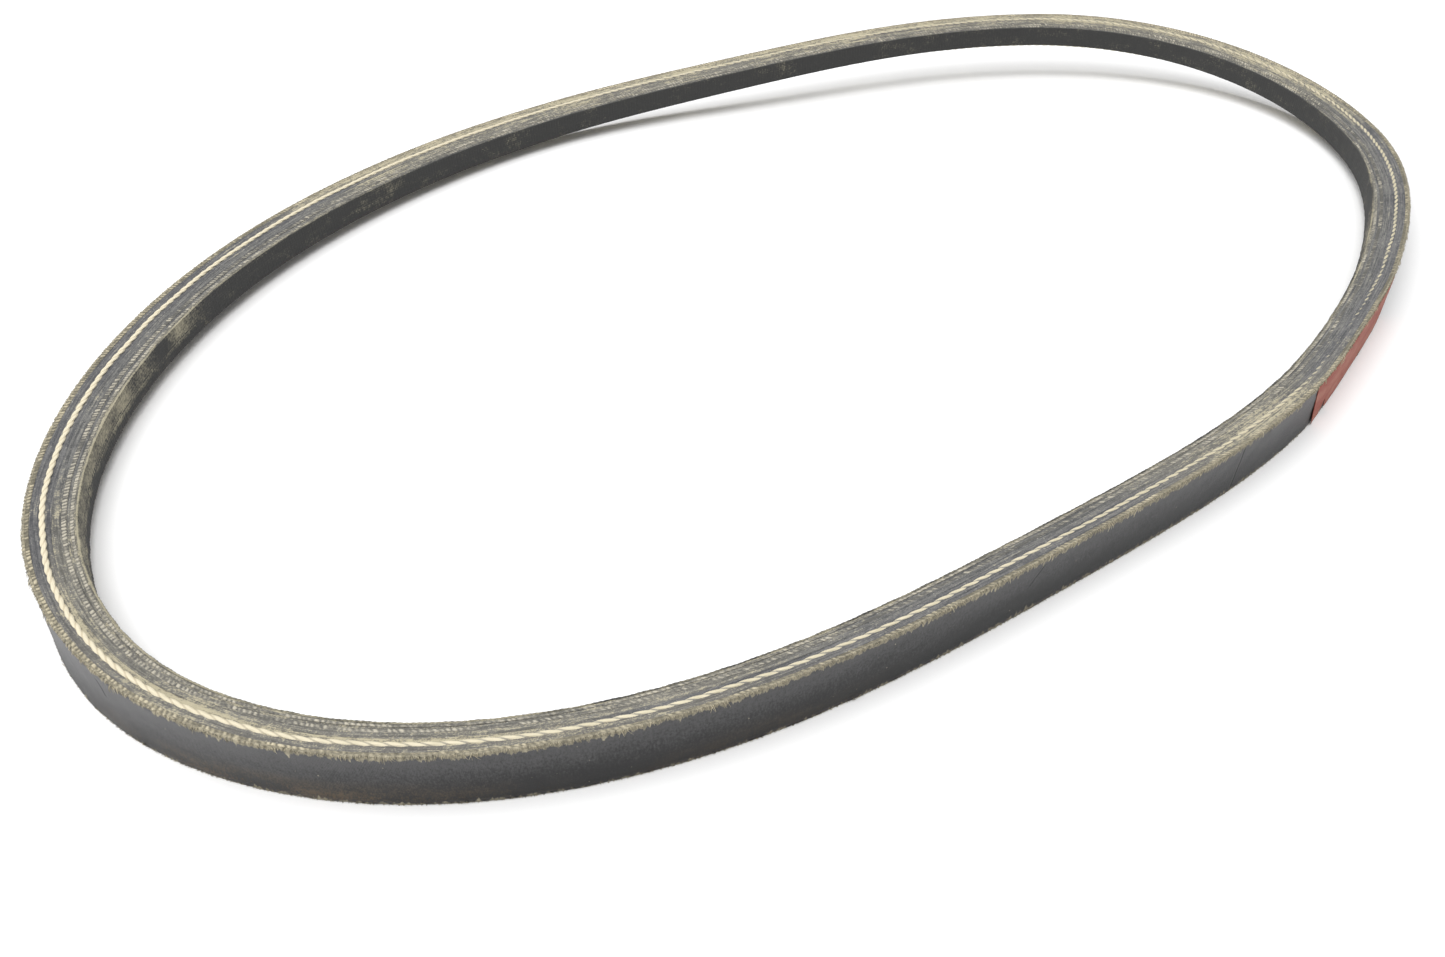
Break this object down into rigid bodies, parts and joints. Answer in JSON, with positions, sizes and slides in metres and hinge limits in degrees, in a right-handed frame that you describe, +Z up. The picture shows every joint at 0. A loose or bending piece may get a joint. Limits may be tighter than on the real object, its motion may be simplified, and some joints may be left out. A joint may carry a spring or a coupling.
{
  "type": "v belt",
  "caption": "Endless raw-edge V-belt of bonded rubber and fabric layers round a wound tensile cord, lying on its side as a free loop; it grips pulley grooves by its sloping flanks.",
  "frame": {"origin": "centre of the loop's bounding box on the table that it lies on", "axes": "+X along the loop's long way, +Z up, across the belt's width"},
  "size_m": [0.4576, 0.287, 0.0232],
  "materials": {
    "cover_fabric": "dark grey rubberised weave",
    "cover_yarn": "tan yarn ends in rubber",
    "black_rubber": "matt, knife cut",
    "grey_rubber": "matt, knife cut",
    "polyester_cord": "twisted cream yarn",
    "stiffener_fabric": "woven ply, cut edge",
    "base_cloth": "rubberised bias weave",
    "label": "plain red label film"
  },
  "bodies": {
    "root": {"outer_cover_ply": "cover_fabric", "inner_cover_ply": "cover_yarn", "tension_rubber": "black_rubber", "tensile_cord": "polyester_cord", "adhesion_rubber": "black_rubber", "upper_compression_rubber": "grey_rubber", "upper_stiffener_ply": "stiffener_fabric", "middle_compression_rubber": "grey_rubber", "lower_stiffener_ply": "stiffener_fabric", "lower_compression_rubber": "grey_rubber", "base_fabric": "base_cloth", "back_label": "label"}
  },
  "joints": []
}
